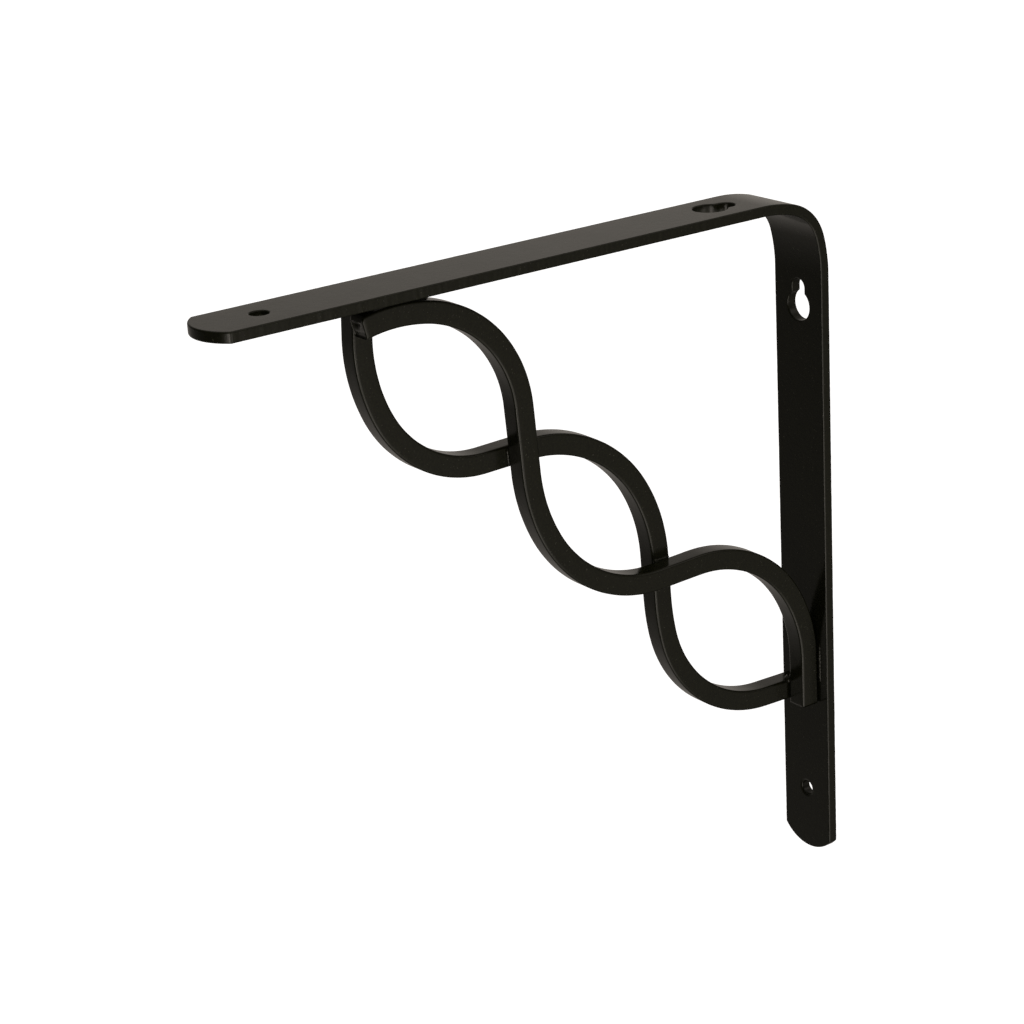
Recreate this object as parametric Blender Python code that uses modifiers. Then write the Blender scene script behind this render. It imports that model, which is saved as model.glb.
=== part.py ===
"""Wall bracket for a shelf: a bent steel strip braced by two square bars that wave past each other.

Run with: blender --background --python part.py
All sizes below are in millimetres and degrees, over the coat; the scene itself is in metres.

Frame: +X out from the wall along the arm, +Z up, +Y towards the side where the front bar lies.
The origin lies on the wall face of the upright, at half its height.
"""

import math

import bmesh
import bpy

# Driving sizes of the strip
REACH = 200.0
HEIGHT = 210.0
STRIP_WIDTH = 20.2
STRIP_THICKNESS = 3.1
STRIP_EDGE_ROUND = 0.45
END_ARC_RISE = 4.7

# The bend is tight in its middle and eases off at both sides
BEND_EASE_RADIUS = 45.0
BEND_EASE_ANGLE = 15.0
BEND_CORE_RADIUS = 15.5

# Screw holes
HOLE_DIAMETER = 6.0
ARM_HOLE_FROM_END = 18.6
UPRIGHT_HOLE_FROM_END = 20.0
KEYHOLE_DIAMETER = 10.0
KEYHOLE_SLOT_WIDTH = 5.8
KEYHOLE_CENTRE_DISTANCE = 5.5
ARM_KEYHOLE_FROM_WALL = 35.2
UPRIGHT_KEYHOLE_FROM_TOP = 34.7

# Driving sizes of the two bars
BAR = 6.2
BAR_EDGE_ROUND = 0.8
TOUCH_GAP = 0.3

# Where each bar starts, in X and down from the arm's top, and which way it heads:
# 180 is towards the wall and 270 straight down
FRONT_START_X = 155.1
FRONT_START_DEPTH = 8.7
FRONT_START_HEADING = 166.4
FRONT_FOOT_DEPTH = 158.8
BACK_START_X = 151.0
BACK_START_DEPTH = 3.6
BACK_START_HEADING = 273.4

# Each bar's bends in order: the straight run before a bend, its radius, and its angle.
# A left turn is positive. Two rows with no run between them make one bend that tightens or eases.
FRONT_BENDS = (
    (0.0, 46.5, 25.9),
    (0.0, 35.3, 74.2),
    (19.2, 50.3, -25.4),
    (0.0, 41.0, -62.9),
    (14.1, 39.4, 59.2),
    (0.0, 44.7, 32.6),
)
BACK_BENDS = (
    (9.6, 46.7, -29.4),
    (0.0, 34.3, -65.4),
    (14.2, 42.0, 62.5),
    (0.0, 49.2, 26.6),
    (13.3, 70.2, -9.5),
    (0.0, 38.8, -76.6),
)

# How finely the curves are divided
DEGREES_PER_FACET = 4.0
HOLE_SIDES = 32
END_ARC_STEPS = 12
CUTTER_REACH = 3.0

MM = 0.001
TOP_Z = HEIGHT / 2


def remove_everything():
    for thing in list(bpy.data.objects):
        bpy.data.objects.remove(thing, do_unlink=True)


def new_collection(name):
    collection = bpy.data.collections.new(name)
    bpy.context.scene.collection.children.link(collection)
    return collection


def coat_material(name, colour, roughness):
    """A powder coat: a plain dielectric, so it isn't metallic."""
    material = bpy.data.materials.new(name)
    material.use_nodes = True
    shader = material.node_tree.nodes["Principled BSDF"]
    shader.inputs["Base Color"].default_value = (*colour, 1.0)
    shader.inputs["Roughness"].default_value = roughness
    shader.inputs["Metallic"].default_value = 0.0
    material.diffuse_color = (*colour, 1.0)
    return material


def walk(start, heading, moves):
    """Points and headings along a route of straight runs and bends, each move a (run, radius, angle)."""
    x, z = start
    turn = math.radians(heading)
    points = [(x, z)]
    headings = [turn]
    for run, radius, angle in moves:
        if run > 0:
            x += run * math.cos(turn)
            z += run * math.sin(turn)
            points.append((x, z))
            headings.append(turn)
        if angle != 0:
            side = math.copysign(1.0, angle)
            centre_x = x - side * radius * math.sin(turn)
            centre_z = z + side * radius * math.cos(turn)
            steps = max(2, round(abs(angle) / DEGREES_PER_FACET))
            first = turn
            for step in range(1, steps + 1):
                turn = first + math.radians(angle) * step / steps
                x = centre_x + side * radius * math.sin(turn)
                z = centre_z - side * radius * math.cos(turn)
                points.append((x, z))
                headings.append(turn)
    return points, headings


def band(points, headings, left, right):
    """Closed outline of a band along a route, from its left offset to its right one."""

    def offset(distance):
        return [
            (x - distance * math.sin(turn), z + distance * math.cos(turn))
            for (x, z), turn in zip(points, headings)
        ]

    return offset(left) + offset(-right)[::-1]


def arc(centre, radius, first, last, steps):
    """Points of an arc, with its angles in degrees."""
    angles = [math.radians(first + (last - first) * step / steps) for step in range(steps + 1)]
    return [(centre[0] + radius * math.cos(a), centre[1] + radius * math.sin(a)) for a in angles]


def flat_solid(name, outline, thickness, rotation=(0, 0, 0), location=(0, 0, 0)):
    """A flat outline given thickness, as a closed mesh: half of it each side of the outline's plane."""
    curve = bpy.data.curves.new(name, "CURVE")
    curve.dimensions = "2D"
    curve.fill_mode = "BOTH"
    curve.extrude = thickness / 2 * MM
    spline = curve.splines.new("POLY")
    spline.points.add(len(outline) - 1)
    for point, (across, up) in zip(spline.points, outline):
        point.co = (across * MM, up * MM, 0.0, 1.0)
    spline.use_cyclic_u = True

    drawn = bpy.data.objects.new(name + "_outline", curve)
    bpy.context.scene.collection.objects.link(drawn)
    drawn.rotation_euler = rotation
    drawn.location = [value * MM for value in location]
    bpy.context.view_layer.update()
    evaluated = drawn.evaluated_get(bpy.context.evaluated_depsgraph_get())
    mesh = bpy.data.meshes.new_from_object(evaluated)
    mesh.name = name

    welded = bmesh.new()
    welded.from_mesh(mesh)
    bmesh.ops.remove_doubles(welded, verts=welded.verts, dist=0.00001)
    bmesh.ops.dissolve_limit(welded, angle_limit=math.radians(0.1), verts=welded.verts, edges=welded.edges)
    bmesh.ops.recalc_face_normals(welded, faces=welded.faces)
    welded.to_mesh(mesh)
    welded.free()

    mesh.shade_smooth()
    mesh.set_sharp_from_angle(angle=math.radians(30))

    solid = bpy.data.objects.new(name, mesh)
    solid.matrix_world = drawn.matrix_world
    bpy.data.objects.remove(drawn)
    return solid


def in_side_view(name, outline, width, centre_y):
    """A solid whose outline is drawn in X and Z, standing about the plane Y = centre_y."""
    return flat_solid(name, outline, width, rotation=(math.pi / 2, 0, 0), location=(0, centre_y, 0))


def round_edges(solid, width):
    """Rounds the long edges; the limit leaves out the joints between a curve's facets."""
    bevel = solid.modifiers.new("edge_round", "BEVEL")
    bevel.width = width * MM
    bevel.segments = 2
    bevel.limit_method = "ANGLE"
    bevel.angle_limit = math.radians(40)


def keyhole_outline():
    """A round end at the origin and a narrow slot that runs to the right, as one outline."""
    big = KEYHOLE_DIAMETER / 2
    small = KEYHOLE_SLOT_WIDTH / 2
    neck = math.degrees(math.asin(small / big))
    round_end = arc((0, 0), big, neck, 360 - neck, HOLE_SIDES)
    slot_end = arc((KEYHOLE_CENTRE_DISTANCE, 0), small, -90, 90, HOLE_SIDES // 2)
    return round_end + slot_end


def circle_outline(diameter):
    return arc((0, 0), diameter / 2, 0, 360, HOLE_SIDES)[:-1]


def end_trim_outline():
    """What is cut off past an arched end: the arc's rise runs to the right and its chord is the strip's width."""
    half = STRIP_WIDTH / 2
    radius = (half**2 + END_ARC_RISE**2) / (2 * END_ARC_RISE)
    spread = math.degrees(math.asin(half / radius))
    arch = arc((-radius, 0), radius, spread, -spread, END_ARC_STEPS)
    beyond = CUTTER_REACH
    square = [(-END_ARC_RISE, -half - beyond), (2 * beyond, -half - beyond)]
    square += [(2 * beyond, half + beyond), (-END_ARC_RISE, half + beyond)]
    return arch + square


def strip_outline():
    """The strip seen from the side, a little too long at both ends: the trims cut its arched ends."""
    spare = CUTTER_REACH
    ease = (0.0, BEND_EASE_RADIUS, -BEND_EASE_ANGLE)
    core = (0.0, BEND_CORE_RADIUS, -(90 - 2 * BEND_EASE_ANGLE))
    bend, _ = walk((0, 0), 90, (ease, core, ease))
    bend_size = bend[-1][0]
    up_the_wall = HEIGHT + spare - bend_size
    along_the_arm = REACH + spare - bend_size
    moves = ((up_the_wall, ease[1], ease[2]), core, ease, (along_the_arm, 0.0, 0.0))
    points, headings = walk((0, -TOP_Z - spare), 90, moves)
    return band(points, headings, 0.0, STRIP_THICKNESS)


def cutters_for_strip(collection):
    """Each cutter is drawn flat, with its length along X, then turned to face the leg that it cuts."""
    deep = 2 * CUTTER_REACH + STRIP_THICKNESS
    arm_z = TOP_Z - STRIP_THICKNESS / 2
    wall_x = STRIP_THICKNESS / 2
    on_arm = (0, 0, 0)
    on_arm_reversed = (0, 0, math.pi)
    up_the_wall = (0, -math.pi / 2, 0)
    down_the_wall = (0, math.pi / 2, 0)
    keyhole = keyhole_outline()
    hole = circle_outline(HOLE_DIAMETER)
    trim = end_trim_outline()
    cuts = (
        ("arm_end", trim, on_arm, (REACH, 0, arm_z)),
        ("arm_hole", hole, on_arm, (REACH - ARM_HOLE_FROM_END, 0, arm_z)),
        ("arm_keyhole", keyhole, on_arm_reversed, (ARM_KEYHOLE_FROM_WALL, 0, arm_z)),
        ("upright_end", trim, down_the_wall, (wall_x, 0, -TOP_Z)),
        ("upright_hole", hole, down_the_wall, (wall_x, 0, UPRIGHT_HOLE_FROM_END - TOP_Z)),
        ("upright_keyhole", keyhole, up_the_wall, (wall_x, 0, TOP_Z - UPRIGHT_KEYHOLE_FROM_TOP)),
    )
    cutters = []
    for name, outline, rotation, location in cuts:
        cutter = flat_solid("cut_" + name, outline, deep, rotation, location)
        cutter.hide_render = True
        cutter.display_type = "WIRE"
        collection.objects.link(cutter)
        cutters.append(cutter)
    return cutters


def make_strip(parts, cutters_collection, material):
    strip = in_side_view("bent_strip", strip_outline(), STRIP_WIDTH, 0)
    parts.objects.link(strip)
    round_edges(strip, STRIP_EDGE_ROUND)
    for cutter in cutters_for_strip(cutters_collection):
        cut = strip.modifiers.new(cutter.name, "BOOLEAN")
        cut.operation = "DIFFERENCE"
        cut.object = cutter
    strip.data.materials.append(material)
    return strip


def make_bar(name, route, centre_y, parts, material):
    """A square bar along a route, given as points and headings."""
    points, headings = route
    bar = in_side_view(name, band(points, headings, BAR / 2, BAR / 2), BAR, centre_y)
    parts.objects.link(bar)
    round_edges(bar, BAR_EDGE_ROUND)
    bar.data.materials.append(material)
    return bar


def front_route():
    """From the sheared end under the arm to the foot that runs straight down the upright."""
    start = (FRONT_START_X, TOP_Z - FRONT_START_DEPTH)
    points, _ = walk(start, FRONT_START_HEADING, FRONT_BENDS)
    foot_run = points[-1][1] - (TOP_Z - FRONT_FOOT_DEPTH)
    return walk(start, FRONT_START_HEADING, FRONT_BENDS + ((foot_run, 0.0, 0.0),))


def back_route():
    """From the arm's underside to the upright's inner face, both met end on."""
    start = (BACK_START_X, TOP_Z - BACK_START_DEPTH)
    points, _ = walk(start, BACK_START_HEADING, BACK_BENDS)
    last_run = points[-1][0] - STRIP_THICKNESS - TOUCH_GAP
    return walk(start, BACK_START_HEADING, BACK_BENDS + ((last_run, 0.0, 0.0),))


def main():
    remove_everything()
    parts = new_collection("shelf_bracket")
    cutters = new_collection("cutters")
    black = coat_material("black_powder_coat", (0.02, 0.019, 0.017), 0.45)
    beside = BAR / 2 + TOUCH_GAP / 2
    make_strip(parts, cutters, black)
    make_bar("front_scroll", front_route(), beside, parts, black)
    make_bar("back_scroll", back_route(), -beside, parts, black)


main()
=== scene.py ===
# %% [markdown]
# # Dressing a scrolled shelf bracket
#
# The real bracket is three pieces of steel: a strip bent to a right angle, and two square bars bent to
# waves that cross one another and brace the corner. It is welded, then coated in satin black powder.
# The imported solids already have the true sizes, but their curves are coarse and their coat is plain.
# This lesson makes the same three pieces again, the way a workshop does, with fine curves, softened
# edges, a sheared end, weld beads and a powder coat, and lets each stand in for its solid.

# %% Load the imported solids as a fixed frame
import math

import bmesh
import bpy
import numpy as np
from mathutils import Matrix, Vector, noise


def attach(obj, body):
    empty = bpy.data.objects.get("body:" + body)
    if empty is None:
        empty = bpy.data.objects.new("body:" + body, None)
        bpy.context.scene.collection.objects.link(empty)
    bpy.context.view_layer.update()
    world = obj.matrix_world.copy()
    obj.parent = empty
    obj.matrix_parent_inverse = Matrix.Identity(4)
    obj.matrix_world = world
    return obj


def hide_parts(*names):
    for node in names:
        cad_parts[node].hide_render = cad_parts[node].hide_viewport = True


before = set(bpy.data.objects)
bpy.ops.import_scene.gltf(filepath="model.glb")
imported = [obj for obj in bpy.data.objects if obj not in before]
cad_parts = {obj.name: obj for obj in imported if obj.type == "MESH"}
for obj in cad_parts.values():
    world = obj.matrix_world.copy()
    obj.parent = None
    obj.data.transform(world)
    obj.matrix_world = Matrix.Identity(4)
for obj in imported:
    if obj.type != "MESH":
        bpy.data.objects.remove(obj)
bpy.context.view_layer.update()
print("nodes:", sorted(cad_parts))

# %% [markdown]
# ## Sizes first
#
# A workshop drawing is in millimetres and Blender's scene is in metres, so everything below is worked
# out in millimetres and scaled once, when a mesh is made. The origin lies on the wall face at half the
# height, +X points out from the wall, +Z up, and +Y towards the front bar. The strip and the bars have
# the sizes that the solids were made with, so the finished pieces lie where their solids do.

# %% Sizes in millimetres
MM = 0.001
REACH = 200.0
HEIGHT = 210.0
TOP = HEIGHT / 2
STRIP_WIDTH = 20.2
STRIP_THICKNESS = 3.1
ARCH_RISE = 4.7
BAR = 6.2
TOUCH_GAP = 0.3
print("the strip is", STRIP_WIDTH, "x", STRIP_THICKNESS, "mm and the bars are", BAR, "mm square")

# %% [markdown]
# ## A route of runs and bends
#
# A smith writes a bent bar down as a list: run straight this far, then bend this much round that
# radius. A Bezier curve could be pulled to the same shape by eye, but a list of bends keeps its exact
# radii, and the strip and both bars can share one function that walks along it. It leaves a station
# every fraction of a millimetre, each with its place, its heading and how far along it lies.

# %% Walk along a route
STATION_STEP = 0.5


def walk(start, heading, moves, step=STATION_STEP):
    """Stations along (run, radius, angle) moves, as rows of x, z, heading and distance walked."""
    x, z = start
    turn = math.radians(heading)
    walked = 0.0
    rows = [(x, z, turn, walked)]
    for run, radius, angle in moves:
        pieces = math.ceil(run / step)
        for _ in range(pieces):
            x += run / pieces * math.cos(turn)
            z += run / pieces * math.sin(turn)
            walked += run / pieces
            rows.append((x, z, turn, walked))
        if angle == 0:
            continue
        side = math.copysign(1.0, angle)
        centre = (x - side * radius * math.sin(turn), z + side * radius * math.cos(turn))
        length = radius * abs(math.radians(angle))
        pieces = math.ceil(length / step)
        first = turn
        for piece in range(1, pieces + 1):
            turn = first + math.radians(angle) * piece / pieces
            x = centre[0] + side * radius * math.sin(turn)
            z = centre[1] - side * radius * math.cos(turn)
            rows.append((x, z, turn, walked + length * piece / pieces))
        walked += length
    return np.array(rows)


quarter = walk((0, 0), 0, ((0, 10.0, 90.0),))
print("a 10 mm quarter bend is", round(quarter[-1][3], 2), "mm long in", len(quarter), "stations")

# %% [markdown]
# ## The strip: cut it flat
#
# The strip is blanked and punched while it is flat and is bent last, so the mesh is made in that order
# too. Cutting holes with Booleans after the bend works as well, but leaves hard, thin-faced rims that
# can't be softened. Here each outline is a loop of points: one round the blank with its arched ends,
# and one for each hole. Loops run so that the steel is always on the left.

# %% Outline of the blank
EDGE_STEP = 0.45
ARCH_STEPS = 40
BEND_STEP = 0.2
EASE = (0.0, 45.0, -15.0)
CORE = (0.0, 15.5, -60.0)
bend = walk((0, 0), 90, (EASE, CORE, EASE), BEND_STEP)
BEND_SIZE = bend[-1][0]
BEND_LENGTH = bend[-1][3]
UP = HEIGHT - BEND_SIZE
OUT = REACH - BEND_SIZE
LENGTH = UP + BEND_LENGTH + OUT
print("the flat blank is", round(LENGTH, 2), "mm long; the bend takes", round(BEND_LENGTH, 2), "mm")


def arc(centre, radius, first, last, steps):
    """Points of an arc in the plane of the blank, with its angles in degrees."""
    angles = np.radians(np.linspace(first, last, steps + 1))
    return np.column_stack((centre[0] + radius * np.cos(angles), centre[1] + radius * np.sin(angles)))


half = STRIP_WIDTH / 2
arch_radius = (half**2 + ARCH_RISE**2) / (2 * ARCH_RISE)
arch_spread = math.degrees(math.asin(half / arch_radius))
side_steps = np.linspace(ARCH_RISE, LENGTH - ARCH_RISE, round((LENGTH - 2 * ARCH_RISE) / EDGE_STEP) + 1)
near_side = np.column_stack((side_steps, np.full(len(side_steps), -half)))
far_side = np.column_stack((side_steps[::-1], np.full(len(side_steps), half)))
arm_arch = arc((LENGTH - arch_radius, 0), arch_radius, -arch_spread, arch_spread, ARCH_STEPS)[1:-1]
foot_arch = arc((arch_radius, 0), arch_radius, 180 - arch_spread, 180 + arch_spread, ARCH_STEPS)[1:-1]
blank = np.vstack((near_side, arm_arch, far_side, foot_arch))
print("outline:", len(blank), "points, arch radius", round(arch_radius, 2), "mm")

# %% [markdown]
# ## Softened rims
#
# Powder builds up round an edge as it melts, so no rim of a coated part is sharp, and that soft rim is
# what catches the light as a thin bright line. Blender's Bevel modifier could round it, but on a plate
# full of holes it leaves stray slivers. A rim is simple enough to build by hand: the outline is copied
# in steps that follow a quarter circle from the face down to the side wall, and again at the other face.

# %% Rings from the outer face to the inner face
RIM = (0.45, 0.45)
BURR_RIM = (0.12, 0.12)
WIDE_MOUTH = (1.0, 0.5)
RIM_STEPS = 4


def pushed_in(loop, amount):
    """The loop moved to its left, into the steel, by the same distance everywhere."""
    before = loop - np.roll(loop, 1, axis=0)
    after = np.roll(loop, -1, axis=0) - loop
    before /= np.linalg.norm(before, axis=1)[:, None]
    after /= np.linalg.norm(after, axis=1)[:, None]
    left = np.column_stack((-(before + after)[:, 1], (before + after)[:, 0]))
    left /= np.linalg.norm(left, axis=1)[:, None]
    cosine = left[:, 0] * -after[:, 1] + left[:, 1] * after[:, 0]
    return loop + left * (amount / np.maximum(cosine, 0.5))[:, None]


def rounded(rim):
    """(inset, depth) pairs of the rings down a rim that is so wide and so deep."""
    width, depth = rim
    angles = [math.pi / 2 * step / RIM_STEPS for step in range(RIM_STEPS + 1)]
    return [(width * (1 - math.sin(angle)), depth * (1 - math.cos(angle))) for angle in angles]


def rim_levels(outer_rim, inner_rim):
    """Rings down the outer face's rim, the side wall and the inner face's rim."""
    inner = [(inset, STRIP_THICKNESS - depth) for inset, depth in reversed(rounded(inner_rim))]
    return rounded(outer_rim) + inner


print("rings from face to face:", len(rim_levels(RIM, RIM)))

# %% [markdown]
# ## Holes and keyholes
#
# A keyhole is a round hole that a screw's head passes through and a narrow slot that the shank drops
# into. Its outline is two arcs that meet at the neck. The holes are placed by how far along the blank
# they lie, counted from the foot. A punch rounds the face that it enters and leaves a sharper rim where
# it comes out, so each hole has a rim of its own on each face. Its outline is the size of its mouth.

# %% Hole outlines
WALL_HOLE = 6.4
SHELF_HOLE = 6.0
WALL_KEYHOLE = (10.0, 6.0)
SHELF_KEYHOLE = (10.8, 6.6)
KEY_CENTRES = 5.5
FOOT_HOLE_FROM_END = 20.0
TIP_HOLE_FROM_END = 18.6
KEYHOLE_BELOW_TOP = 34.7
KEYHOLE_FROM_WALL = 35.2
HOLE_STEPS = 56
HEAD_STEPS = 72
SLOT_STEPS = 28


def round_hole(along, size):
    return arc((along, 0), size / 2, 360, 0, HOLE_STEPS)[:-1]


def keyhole(along, sizes, slot_side):
    """A head and a slot. slot_side is 1 where the slot points along the strip and -1 where back."""
    head_size, slot_size = sizes
    neck = math.degrees(math.asin(slot_size / head_size))
    head = arc((0, 0), head_size / 2, 360 - neck, neck, HEAD_STEPS)
    slot = arc((KEY_CENTRES, 0), slot_size / 2, 90, -90, SLOT_STEPS)
    outline = np.vstack((head, slot))
    if slot_side < 0:
        outline = -outline
    return outline + (along, 0)


WALL_KEYHOLE_AT = HEIGHT - KEYHOLE_BELOW_TOP
SHELF_KEYHOLE_AT = LENGTH - (REACH - KEYHOLE_FROM_WALL)
TIP_HOLE_AT = LENGTH - TIP_HOLE_FROM_END
holes = (
    # how far from the foot, the outline, its rim on the outer face and its rim on the inner face
    (FOOT_HOLE_FROM_END, round_hole(FOOT_HOLE_FROM_END, WALL_HOLE), BURR_RIM, WIDE_MOUTH),
    (WALL_KEYHOLE_AT, keyhole(WALL_KEYHOLE_AT, WALL_KEYHOLE, 1), BURR_RIM, RIM),
    (SHELF_KEYHOLE_AT, keyhole(SHELF_KEYHOLE_AT, SHELF_KEYHOLE, -1), RIM, BURR_RIM),
    (TIP_HOLE_AT, round_hole(TIP_HOLE_AT, SHELF_HOLE), RIM, BURR_RIM),
)
print("holes at", [round(along, 1) for along, *_ in holes], "mm from the foot")

# %% [markdown]
# ## Join the rings into a closed plate
#
# The rings of each loop are joined with quads. The two faces are filled in panels: plain stretches get
# one quad from side to side at each station, which later bend cleanly, and only the short panel round
# a hole is filled with triangles. The rims get a slightly beaded swelling, as melted powder leaves on
# a sheared edge.

# %% Rings of one loop
BEAD_HEIGHT = 0.08
BEAD_LENGTH = 1.1
SLOW_LENGTH = 9.0


def beaded(along, across, level):
    """How far the coat swells at a point of the rim: slow waves broken by short beads."""
    wave = noise.noise(Vector((along / BEAD_LENGTH, across * 0.7, level * 0.4)))
    slow = noise.noise(Vector((along / SLOW_LENGTH, across * 0.3, 7.0)))
    return BEAD_HEIGHT * (wave * 0.7 + slow * 0.5)


def add_rings(mesh, loop, outer_rim=RIM, inner_rim=RIM, narrower=0.0):
    """Rings of vertices for one loop. A hole is narrower inside than at its rounded mouth."""
    rings = []
    levels = rim_levels(outer_rim, inner_rim)
    for number, (inset, depth) in enumerate(levels):
        on_rim = 0 < number < len(levels) - 1
        ring = []
        for along, across in pushed_in(loop, inset - narrower):
            swell = beaded(along, across, number) if on_rim else 0.0
            ring.append(mesh.verts.new((along, across * (1 + swell / half), depth)))
        rings.append(ring)
    for upper, lower in zip(rings, rings[1:]):
        for i in range(len(loop)):
            j = (i + 1) % len(loop)
            mesh.faces.new((upper[i], upper[j], lower[j], lower[i]))
    return rings


plate = bmesh.new()
blank_rings = add_rings(plate, blank)
hole_rings = []
for along, loop, outer_rim, inner_rim in holes:
    widest = max(outer_rim[0], inner_rim[0])
    hole_rings.append((along, add_rings(plate, loop, outer_rim, inner_rim, widest)))
print("rings:", len(plate.verts), "vertices,", len(plate.faces), "faces")

# %% Fill the two faces of the plate
PANEL_REACH = 10.0


def fill_face(mesh, outer, inner_loops):
    """Fills one face of the plate, from the outer ring's vertices and those of the holes."""
    count = len(side_steps)
    near = outer[:count]
    far = outer[count + len(arm_arch):2 * count + len(arm_arch)][::-1]
    busy = [(at - PANEL_REACH, at + PANEL_REACH, ring) for at, ring in inner_loops]
    i = 0
    while i < count - 1:
        panel = next((p for p in busy if side_steps[i] <= p[0] < side_steps[i + 1]), None)
        if panel is None:
            mesh.faces.new((near[i], near[i + 1], far[i + 1], far[i]))
            i += 1
            continue
        last = int(np.searchsorted(side_steps, panel[1]))
        border = near[i:last + 1] + far[i:last + 1][::-1]
        edges = []
        for ring in (border, panel[2]):
            for a, b in zip(ring, ring[1:] + ring[:1]):
                edges.append(mesh.edges.get((a, b)) or mesh.edges.new((a, b)))
        bmesh.ops.triangle_fill(mesh, use_beauty=True, edges=edges)
        i = last
    mesh.faces.new([near[-1]] + outer[count:count + len(arm_arch)] + [far[-1]])
    mesh.faces.new([far[0]] + outer[2 * count + len(arm_arch):] + [near[0]])


for level in (0, -1):
    fill_face(plate, blank_rings[level], [(along, rings[level]) for along, rings in hole_rings])
print("flat plate:", len(plate.verts), "vertices,", len(plate.faces), "faces")

# %% [markdown]
# ## Bend it
#
# Bending is a change of address. A point that lay so far along the blank goes to the same distance
# along the bent route, and its depth in the plate becomes depth below the outer face. The bend is
# tight in the middle and eases off at both sides, because the press touches only its middle.

# %% Bend the plate and finish the strip
strip_moves = ((UP, EASE[1], EASE[2]), CORE, EASE, (OUT, 0, 0))
strip_route = walk((0, -TOP), 90, strip_moves, BEND_STEP)


def bent(vertex):
    along, across, depth = vertex
    x, z, turn = (np.interp(along, strip_route[:, 3], strip_route[:, k]) for k in range(3))
    return Vector((x + depth * math.sin(turn), across, z - depth * math.cos(turn)))


def finished(mesh, name, node=None):
    """Closes the work on a piece: metres, even normals, smooth shading, and its place in the frame."""
    bmesh.ops.recalc_face_normals(mesh, faces=mesh.faces)
    bmesh.ops.scale(mesh, vec=(MM, MM, MM), verts=mesh.verts)
    data = bpy.data.meshes.new(name)
    mesh.to_mesh(data)
    mesh.free()
    data.shade_smooth()
    piece = bpy.data.objects.new(name, data)
    bpy.context.scene.collection.objects.link(piece)
    piece.modifiers.new("even_normals", "WEIGHTED_NORMAL")
    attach(piece, "root")
    if node:
        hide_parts(node)
    return piece


for vertex in plate.verts:
    vertex.co = bent(vertex.co)
strip = finished(plate, "coated_strip", "bent_strip")
print(strip.name, len(strip.data.polygons), "faces")

# %% [markdown]
# ## The bars: sweep a rounded square
#
# A curve object with a bevel profile could draw the bars too. Sweeping the section by hand keeps it
# upright in the plane of the wave, keeps the stations even, and leaves the ends free to be shaped as
# the shear left them. The section is a square with softened corners.

# %% Section of a bar and how it is swept
BAR_ROUND = 0.7
CORNER_STEPS = 5
FLAT_STEPS = 4
COAT_WAVE = 0.018
COAT_WAVE_LENGTH = 3.0


def bar_section():
    """Points round a rounded square, as (towards the left of the route, towards +Y)."""
    flat = BAR / 2 - BAR_ROUND
    corner = arc((flat, flat), BAR_ROUND, 0, 90, CORNER_STEPS)
    steps = np.linspace(flat, -flat, FLAT_STEPS + 1)[1:-1]
    side = np.column_stack((steps, np.full(len(steps), BAR / 2)))
    quarters = [np.vstack((corner, side))]
    for _ in range(3):
        quarters.append(np.column_stack((-quarters[-1][:, 1], quarters[-1][:, 0])))
    return np.vstack(quarters)


def placed(station, centre_y, left, across, ahead=0.0):
    """A point of the bar at a station: left of the route, across it towards +Y, and ahead along it."""
    x, z, turn, _ = station
    return Vector((
        x - left * math.sin(turn) + ahead * math.cos(turn),
        centre_y + across,
        z + left * math.cos(turn) + ahead * math.sin(turn),
    ))


def swept(route, centre_y, shape_at=None):
    """A tube of quads along the route. shape_at may reshape the section near an end."""
    mesh = bmesh.new()
    rings = []
    for station in route:
        ring = []
        for left, across in SECTION:
            wave = noise.noise(Vector((station[3] / COAT_WAVE_LENGTH, left * 0.5, across * 0.5 + centre_y)))
            grow = 1 + COAT_WAVE * wave / (BAR / 2)
            point = (left * grow, across * grow)
            if shape_at:
                point = shape_at(station[3], *point)
            ring.append(mesh.verts.new(placed(station, centre_y, *point)))
        rings.append(ring)
    for back, ahead in zip(rings, rings[1:]):
        for i in range(len(SECTION)):
            j = (i + 1) % len(SECTION)
            mesh.faces.new((back[i], back[j], ahead[j], ahead[i]))
    return mesh, rings


SECTION = bar_section()
print("bar section:", len(SECTION), "points")

# %% [markdown]
# ## Ends of the bars
#
# The foot of a bar is sawn square and its rim is softened by the coat. The start of the front bar shows
# from the front: it was cropped in a shear, which rolls the upper edge down, tears a hollow in the steel
# and leaves a small burr round the rim. Each end is closed by rings that shrink towards its middle, and
# one small function says how far out each of their points stands.

# %% Close the ends
END_ROUND = 0.35
CAP_SHARES = (0.985, 0.95, 0.89, 0.8, 0.68, 0.55, 0.4, 0.25, 0.12)
SHEAR_LENGTH = 1.0
SHEAR_DROP = 1.4
HOLLOW_DEPTH = 0.75
HOLLOW_AT = (-0.8, -0.8)
HOLLOW_SIZE = (1.3, 1.5)
FACET_START = 0.9
FACET_SLOPE = 0.3
BURR = 0.12
BURR_FROM_SHARE = 0.97
SET_BACK = 0.2


def sawn(left, across, share):
    """A square end: its rim rolls over within END_ROUND and the rest is flat."""
    inside = min(1.0, (1 - share) * BAR / 2 / END_ROUND)
    return END_ROUND * math.sqrt(1 - (1 - inside) ** 2) - END_ROUND


def cropped(left, across, share):
    """A sheared end: a hollow in the upper far corner, a tilted lower facet, and a burr at the rim."""
    off_left = (left - HOLLOW_AT[0]) / HOLLOW_SIZE[0]
    off_across = (across - HOLLOW_AT[1]) / HOLLOW_SIZE[1]
    hollow = HOLLOW_DEPTH * math.exp(-off_left**2 - off_across**2)
    facet = FACET_SLOPE * max(0.0, left - FACET_START)
    burr = BURR if share > BURR_FROM_SHARE else 0.0
    return burr - SET_BACK - (hollow + facet) * (1 - share**8)


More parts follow.
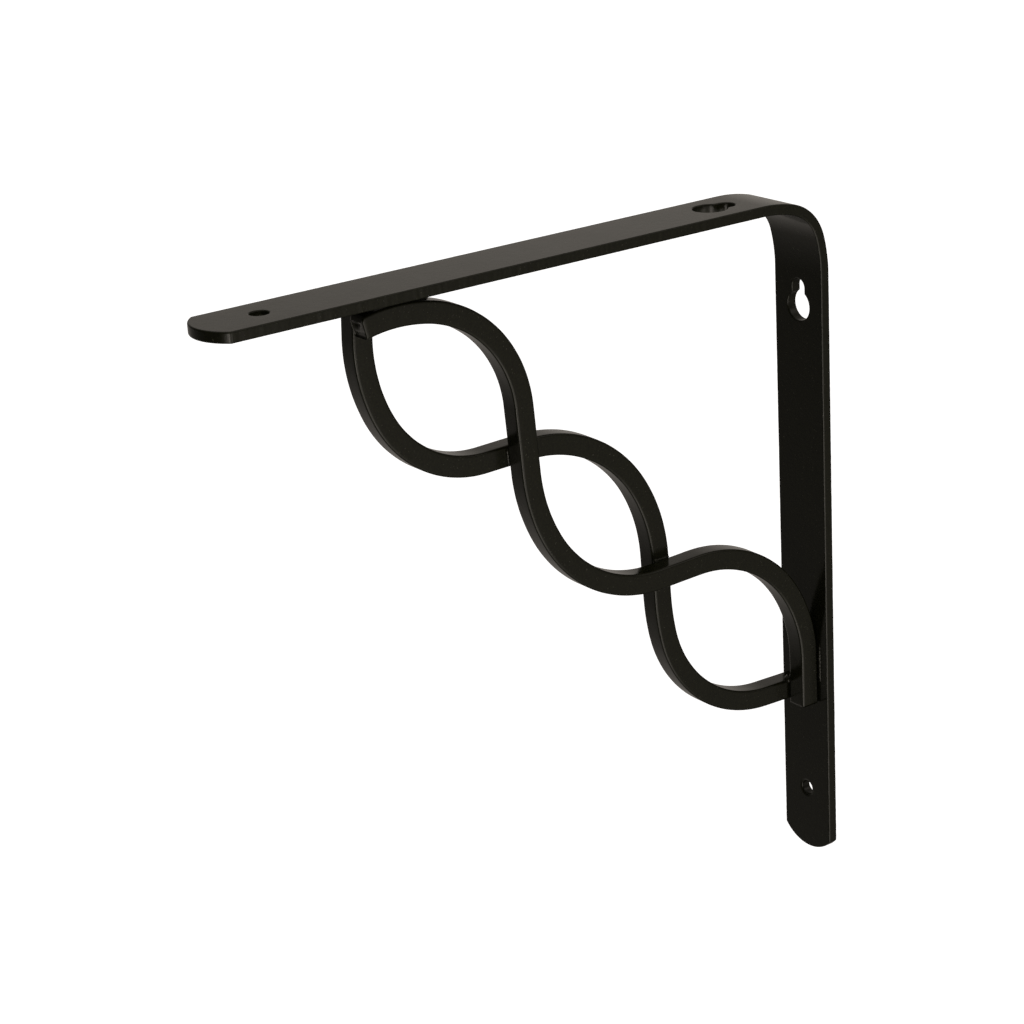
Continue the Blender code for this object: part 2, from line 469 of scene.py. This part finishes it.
def rolled_over(walked, left, across):
    """The shear drags the upper edge of the bar down over its last stretch."""
    near_end = max(0.0, 1 - walked / SHEAR_LENGTH)
    upper = max(0.0, -left / (BAR / 2))
    return left + SHEAR_DROP * near_end**1.6 * upper, across * (1 - 0.05 * near_end**2)


def close_end(mesh, ring, station, centre_y, outward, depth_at, shape_at=None):
    """outward is 1 at the route's end and -1 at its start."""
    outer = ring
    for share in CAP_SHARES:
        inner = []
        for left, across in SECTION:
            point = (left * share, across * share)
            ahead = outward * depth_at(*point, share)
            if shape_at:
                point = shape_at(station[3], *point)
            inner.append(mesh.verts.new(placed(station, centre_y, *point, ahead)))
        for i in range(len(SECTION)):
            j = (i + 1) % len(SECTION)
            mesh.faces.new((outer[i], outer[j], inner[j], inner[i]))
        outer = inner
    ahead = outward * depth_at(0.0, 0.0, 0.0)
    tip = mesh.verts.new(placed(station, centre_y, 0.0, 0.0, ahead))
    for i in range(len(SECTION)):
        mesh.faces.new((outer[i], outer[(i + 1) % len(SECTION)], tip))


print("end rings:", len(CAP_SHARES))

# %% [markdown]
# ## Two waves, half a wave apart
#
# Both bars are bent to much the same wave, but the back one starts upright under the arm and ends square
# against the upright, while the front one starts cropped under the arm and ends in a straight foot down
# the upright. Where they cross they lie side by side, one on each side of the strip's middle. Each row
# of a bend list is a straight run, then the radius of a bend and how far it turns, in degrees.

# %% Bend lists and the two bars
FRONT_START = (155.1, TOP - 8.7)
FRONT_HEADING = 166.4
FRONT_BENDS = (
    (0.0, 46.5, 25.9),
    (0.0, 35.3, 74.2),
    (19.2, 50.3, -25.4),
    (0.0, 41.0, -62.9),
    (14.1, 39.4, 59.2),
    (0.0, 44.7, 32.6),
)
FOOT_Z = TOP - 158.8
BACK_START = (151.0, TOP - 3.6)
BACK_HEADING = 273.4
BACK_BENDS = (
    (9.6, 46.7, -29.4),
    (0.0, 34.3, -65.4),
    (14.2, 42.0, 62.5),
    (0.0, 49.2, 26.6),
    (13.3, 70.2, -9.5),
    (0.0, 38.8, -76.6),
)
BESIDE = BAR / 2 + TOUCH_GAP / 2

front_end = walk(FRONT_START, FRONT_HEADING, FRONT_BENDS)[-1]
front_route = walk(FRONT_START, FRONT_HEADING, FRONT_BENDS + ((front_end[1] - FOOT_Z, 0, 0),))
front_mesh, front_rings = swept(front_route, BESIDE, rolled_over)
close_end(front_mesh, front_rings[0], front_route[0], BESIDE, -1, cropped, rolled_over)
close_end(front_mesh, front_rings[-1], front_route[-1], BESIDE, 1, sawn)
front_bar = finished(front_mesh, "coated_front_bar", "front_scroll")

back_end = walk(BACK_START, BACK_HEADING, BACK_BENDS)[-1]
back_run = back_end[0] - STRIP_THICKNESS - TOUCH_GAP
back_route = walk(BACK_START, BACK_HEADING, BACK_BENDS + ((back_run, 0, 0),))
back_mesh, back_rings = swept(back_route, -BESIDE)
close_end(back_mesh, back_rings[0], back_route[0], -BESIDE, -1, sawn)
close_end(back_mesh, back_rings[-1], back_route[-1], -BESIDE, 1, sawn)
back_bar = finished(back_mesh, "coated_back_bar", "back_scroll")
print("front bar", round(front_route[-1][3]), "mm long, back bar", round(back_route[-1][3]), "mm long")

# %% [markdown]
# ## Weld beads
#
# The welder ran short beads wherever steel meets steel: in the corner at each crossing of the bars, on
# the crest under the arm, at the foot, and where the back bar meets the strip. A bead is a string of
# overlapping drops, so it is swept as a tube that swells and shrinks. Half of it is sunk into the steel,
# so that it reads as a fillet in the corner. Lumps pushed up by a modifier could look softer but would
# lose the ripple.

# %% How a weld bead is swept
RIPPLE = 1.1
RIPPLE_DEPTH = 0.12
LUMP_DEPTH = 0.25
BEAD_STEP = 0.25
BEAD_SIDES = 12
LOOK_AHEAD = 0.3


def in_the_corner(route, other, side, first, last):
    """Points in the corner of a bar's side with the bar it crosses, between two depths below the top."""
    points = []
    for x, z, turn, _ in route:
        corner = (x - side * BAR / 2 * math.sin(turn), z + side * BAR / 2 * math.cos(turn))
        apart = np.hypot(other[:, 0] - corner[0], other[:, 1] - corner[1]).min()
        if apart < BAR / 2 and first < TOP - corner[1] < last:
            points.append((corner[0], 0.0, corner[1]))
    return points


def weld_bead(name, points, radius):
    """A rippled tube along the points, rounded at both ends."""
    line = np.array(points, dtype=float)
    walked = np.concatenate(((0.0,), np.cumsum(np.linalg.norm(np.diff(line, axis=0), axis=1))))
    length = walked[-1]
    steps = max(10, round(length / BEAD_STEP))
    mesh = bmesh.new()
    rings = []
    for step in range(steps + 1):
        share = step / steps
        near, here, far = (
            Vector([np.interp(share * length + offset, walked, line[:, k]) for k in range(3)])
            for offset in (-LOOK_AHEAD, 0.0, LOOK_AHEAD)
        )
        ahead = (far - near).normalized()
        beside = ahead.cross(Vector((0.3, 1.0, 0.2))).normalized()
        above = ahead.cross(beside)
        fade = math.sqrt(max(0.0, 1 - abs(2 * share - 1) ** 3))
        ripple = 1 + RIPPLE_DEPTH * math.cos(2 * math.pi * share * length / RIPPLE)
        ring = []
        for side in range(BEAD_SIDES):
            angle = 2 * math.pi * side / BEAD_SIDES
            outward = beside * math.cos(angle) + above * math.sin(angle)
            lump = 1 + LUMP_DEPTH * noise.noise((here + outward * radius) * (0.9 / radius))
            ring.append(mesh.verts.new(here + outward * radius * max(0.03, fade) * ripple * lump))
        rings.append(ring)
    for back, front in zip(rings, rings[1:]):
        for i in range(BEAD_SIDES):
            j = (i + 1) % BEAD_SIDES
            mesh.faces.new((back[i], back[j], front[j], front[i]))
    mesh.faces.new(rings[0])
    mesh.faces.new(rings[-1])
    return finished(mesh, name)


print("a bead takes a drop every", RIPPLE, "mm")

# %% Lay the weld beads
UPPER_CROSSING = (30, 75)
LOWER_CROSSING = (75, 115)
DROP_STATIONS = 4
UNDER_ARM = TOP - STRIP_THICKNESS
INNER_FACE = STRIP_THICKNESS
upper_corner = in_the_corner(front_route, back_route, 1, *UPPER_CROSSING)
lower_corner = in_the_corner(front_route, back_route, -1, *LOWER_CROSSING)
crest_line = (
    (132.9, 2.6, TOP - 5.6),
    (135.5, 2.6, TOP - 4.9),
    (138.0, 2.6, TOP - 4.3),
    (143.0, 2.6, TOP - 4.0),
)
foot_top = back_route[-1][1] + BAR / 2
foot_line = ((10.3, -1.2, foot_top + 0.2), (7.8, 0.1, foot_top + 0.5))
foot_side_line = ((INNER_FACE, 6.9, TOP - 139.5), (INNER_FACE, 7.0, TOP - 152.0))
back_top_line = ((148.0, -6.4, UNDER_ARM), (154.3, -6.4, UNDER_ARM))
back_foot_line = ((INNER_FACE, -6.3, foot_top), (INNER_FACE, -6.3, foot_top - BAR))
welds = [
    # a bead's name, its line and its radius
    weld_bead("weld_upper_crossing", upper_corner, 0.45),
    weld_bead("weld_lower_crossing", lower_corner, 0.55),
    weld_bead("weld_lower_crossing_drop", lower_corner[:DROP_STATIONS], 0.85),
    weld_bead("weld_crest", crest_line, 1.25),
    weld_bead("weld_foot", foot_line, 1.2),
    weld_bead("weld_foot_side", foot_side_line, 0.5),
    weld_bead("weld_back_bar_top", back_top_line, 0.9),
    weld_bead("weld_back_bar_foot", back_foot_line, 0.9),
]
print("weld beads:", len(welds))

# %% [markdown]
# ## Powder coat
#
# The coat is a thin black plastic skin. It is no mirror: its surface has a faint orange-peel ripple,
# a finer grain, and a few specks where dust was caught, and its gloss wanders a little. Bump carries
# the ripple, because it is far finer than the mesh. The colour itself is nearly the same everywhere,
# so most of what the eye sees is the surroundings, reflected. An image texture could hold all this too,
# but a cloud of noise has no seams and stays sharp from close by.

# %% Satin black powder coat
DEEP_BLACK = (0.020, 0.021, 0.010, 1.0)
PALER_BLACK = (0.028, 0.030, 0.013, 1.0)
DUST = (0.080, 0.080, 0.060, 1.0)
GLOSS_CLOUD = 140.0
COLOUR_CLOUD = 1400.0
DUST_CLOUD = 1500.0
PEEL_CLOUD = 700.0
GRAIN_CLOUD = 3000.0
PEEL_HEIGHT = 0.0001
GRAIN_HEIGHT = 0.00003
BUMP_STRENGTH = 0.25
ROUGHNESS = (0.17, 0.20)


def powder_coat():
    material = bpy.data.materials.new("satin_black_powder_coat")
    material.use_nodes = True
    nodes = material.node_tree.nodes
    links = material.node_tree.links
    shader = nodes["Principled BSDF"]
    shader.inputs["Metallic"].default_value = 0.0
    shader.inputs["IOR"].default_value = 1.5

    place = nodes.new("ShaderNodeTexCoord")

    def cloud(scale, detail):
        texture = nodes.new("ShaderNodeTexNoise")
        texture.inputs["Scale"].default_value = scale
        texture.inputs["Detail"].default_value = detail
        links.new(place.outputs["Object"], texture.inputs["Vector"])
        return texture.outputs["Fac"]

    def remap(value, low, high, to_low, to_high):
        node = nodes.new("ShaderNodeMapRange")
        node.inputs["From Min"].default_value = low
        node.inputs["From Max"].default_value = high
        node.inputs["To Min"].default_value = to_low
        node.inputs["To Max"].default_value = to_high
        links.new(value, node.inputs["Value"])
        return node.outputs["Result"]

    def blend(share, under, over):
        node = nodes.new("ShaderNodeMix")
        node.data_type = "RGBA"
        links.new(share, node.inputs["Factor"])
        if isinstance(under, tuple):
            node.inputs["A"].default_value = under
        else:
            links.new(under, node.inputs["A"])
        node.inputs["B"].default_value = over
        return node.outputs["Result"]

    def bump(height, distance):
        node = nodes.new("ShaderNodeBump")
        node.inputs["Strength"].default_value = BUMP_STRENGTH
        node.inputs["Distance"].default_value = distance
        links.new(height, node.inputs["Height"])
        return node

    gloss = remap(cloud(GLOSS_CLOUD, 2.0), 0.3, 0.7, *ROUGHNESS)
    links.new(gloss, shader.inputs["Roughness"])

    paler = remap(cloud(COLOUR_CLOUD, 3.0), 0.35, 0.65, 0.0, 1.0)
    dusty = remap(cloud(DUST_CLOUD, 1.0), 0.70, 0.76, 0.0, 1.0)
    colour = blend(dusty, blend(paler, DEEP_BLACK, PALER_BLACK), DUST)
    links.new(colour, shader.inputs["Base Color"])

    peel = bump(cloud(PEEL_CLOUD, 3.0), PEEL_HEIGHT)
    grain = bump(cloud(GRAIN_CLOUD, 2.0), GRAIN_HEIGHT)
    links.new(peel.outputs["Normal"], grain.inputs["Normal"])
    links.new(grain.outputs["Normal"], shader.inputs["Normal"])
    return material


coat = powder_coat()
for piece in (strip, front_bar, back_bar, *welds):
    piece.data.materials.append(coat)
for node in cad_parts.values():
    node.data.materials.clear()
    node.data.materials.append(coat)
print("coated:", strip.name, front_bar.name, back_bar.name, "and", len(welds), "weld beads")

# %% [markdown]
# ## Floor
#
# The bracket is photographed alone in front of white. The floor is a plain pale sheet far enough below
# it to show no shadow. It shines by itself, so that it stays evenly white, and it is hidden from the
# coat, so that only the soft boxes light the bracket. A lit floor would do, but not as evenly.

# %% Plain pale floor
FLOOR_HALF_WIDTH = 60.0
FLOOR_Z = -0.6


def pale_floor():
    mesh = bmesh.new()
    bmesh.ops.create_grid(mesh, x_segments=1, y_segments=1, size=FLOOR_HALF_WIDTH)
    data = bpy.data.meshes.new("floor")
    mesh.to_mesh(data)
    mesh.free()
    floor = bpy.data.objects.new("floor", data)
    floor.location = (0, 0, FLOOR_Z)
    bpy.context.scene.collection.objects.link(floor)
    material = bpy.data.materials.new("white_floor")
    material.use_nodes = True
    shader = material.node_tree.nodes["Principled BSDF"]
    shader.inputs["Base Color"].default_value = (0.9, 0.9, 0.9, 1.0)
    shader.inputs["Roughness"].default_value = 1.0
    shader.inputs["Emission Color"].default_value = (1.0, 1.0, 1.0, 1.0)
    shader.inputs["Emission Strength"].default_value = 1.0
    data.materials.append(material)
    floor.visible_glossy = False
    floor.visible_diffuse = False
    return floor


floor = pale_floor()
print("floor at z =", floor.location.z, "m")

# %% [markdown]
# ## Light
#
# A black satin part shows its studio more than its own colour, so the light is laid out by asking what
# each face mirrors towards the camera. Every soft box is a round glow on the surroundings that fades
# from its middle: broad ones give the faces their greys, and tight ones draw the bright lines along the
# rims. Area lamps could do the same, but these glows need no place and can't show in the picture: the
# camera itself sees plain white instead.

# %% Soft boxes painted on the surroundings
WARM_LIGHT = (1.0, 0.92, 0.83, 1.0)
BROAD = 5.0
TIGHT = 30.0
TIGHTEST = 60.0
AMBIENT = 0.002
SOFT_BOXES = (
    # the direction that the light comes from, how tight it is, how bright
    # low, beyond the back bar and the wall: the arm's top mirrors it
    ((-0.64, -0.77, 0.07), BROAD, 0.33),
    # overhead, for looks from above
    ((0.0, 0.0, 1.0), BROAD, 0.4),
    # beyond the back bar and below: the upright's inner face mirrors it
    ((0.0, -0.75, -0.66), BROAD, 0.23),
    # on the front bar's side and below: the bars' front faces mirror it
    ((0.15, 0.87, -0.48), BROAD, 0.48),
    # behind the wall, once on the front bar's side and once nearly straight behind
    ((-0.82, 0.57, 0.0), BROAD, 0.08),
    ((-0.94, -0.30, -0.16), BROAD, 0.05),
    # below the arm's tip
    ((0.48, -0.37, -0.80), BROAD, 0.06),
    # on the front bar's side, for the softened corners of the bars
    ((-0.08, 0.94, -0.34), TIGHT, 0.6),
    ((0.35, 0.62, -0.70), TIGHT, 1.3),
    # under the camera: the bright line down the near rim of the upright
    ((0.70, 0.62, -0.34), TIGHTEST, 3.0),
    # high above the wall: the line along the near rim of the arm
    ((-0.54, 0.54, 0.65), TIGHT, 0.4),
)


def soft_surroundings(boxes, ambient):
    world = bpy.data.worlds.new("studio")
    bpy.context.scene.world = world
    world.use_nodes = True
    nodes = world.node_tree.nodes
    links = world.node_tree.links
    nodes.clear()

    def calculate(operation, *values):
        node = nodes.new("ShaderNodeMath")
        node.operation = operation
        for socket, value in zip(node.inputs, values):
            if isinstance(value, float):
                socket.default_value = value
            else:
                links.new(value, socket)
        return node.outputs[0]

    looking = nodes.new("ShaderNodeTexCoord").outputs["Generated"]
    total = ambient
    for direction, tightness, brightness in boxes:
        towards = nodes.new("ShaderNodeVectorMath")
        towards.operation = "DOT_PRODUCT"
        towards.inputs[1].default_value = Vector(direction).normalized()
        links.new(looking, towards.inputs[0])
        off_axis = calculate("SUBTRACT", towards.outputs["Value"], 1.0)
        fading = calculate("EXPONENT", calculate("MULTIPLY", off_axis, tightness))
        total = calculate("ADD", total, calculate("MULTIPLY", fading, brightness))

    lights = nodes.new("ShaderNodeBackground")
    lights.inputs["Color"].default_value = WARM_LIGHT
    links.new(total, lights.inputs["Strength"])
    white = nodes.new("ShaderNodeBackground")
    white.inputs["Color"].default_value = (1.0, 1.0, 1.0, 1.0)
    choice = nodes.new("ShaderNodeMixShader")
    links.new(nodes.new("ShaderNodeLightPath").outputs["Is Camera Ray"], choice.inputs[0])
    links.new(lights.outputs[0], choice.inputs[1])
    links.new(white.outputs[0], choice.inputs[2])
    links.new(choice.outputs[0], nodes.new("ShaderNodeOutputWorld").inputs["Surface"])


soft_surroundings(SOFT_BOXES, AMBIENT)
print("soft boxes:", len(SOFT_BOXES))

# %% [markdown]
# ## Camera
#
# The camera stands a little above the arm, in front of the front bar and out from the wall, and leans a
# few degrees. Its place, its three angles and its lens make one set, found by laying the straight edges
# of the strip over the photograph's. A tracking constraint would aim it, but would leave out the lean.

# %% Camera at the photograph's angle
CAMERA_AT = (482.88, 539.67, 270.71)
AZIMUTH = 145.25
ELEVATION = 19.859
ROLL = -3.385
LENS = 89.75
SENSOR_WIDTH = 36.0


def camera_axes(azimuth, elevation, roll):
    """The camera's right, up and backward directions."""
    around, above, lean = (math.radians(value) for value in (azimuth, elevation, roll))
    backward = Vector((
        math.sin(around) * math.cos(above),
        -math.cos(around) * math.cos(above),
        math.sin(above),
    ))
    level = Vector((0, 0, 1)).cross(backward).normalized()
    upright = backward.cross(level)
    right = level * math.cos(lean) + upright * math.sin(lean)
    return right, backward.cross(right), backward


right, upward, backward = camera_axes(AZIMUTH, ELEVATION, ROLL)
camera = bpy.data.objects.new("camera", bpy.data.cameras.new("camera"))
camera.data.lens = LENS
camera.data.sensor_width = SENSOR_WIDTH
camera.data.clip_start = 0.05
camera.data.clip_end = 200.0
turned = Matrix((right, upward, backward)).transposed().to_4x4()
camera.matrix_world = Matrix.Translation(Vector(CAMERA_AT) * MM) @ turned
bpy.context.scene.collection.objects.link(camera)
bpy.context.scene.camera = camera
bpy.context.scene.view_settings.view_transform = "Standard"
print("camera", round(Vector(CAMERA_AT).length), "mm from the wall mount")
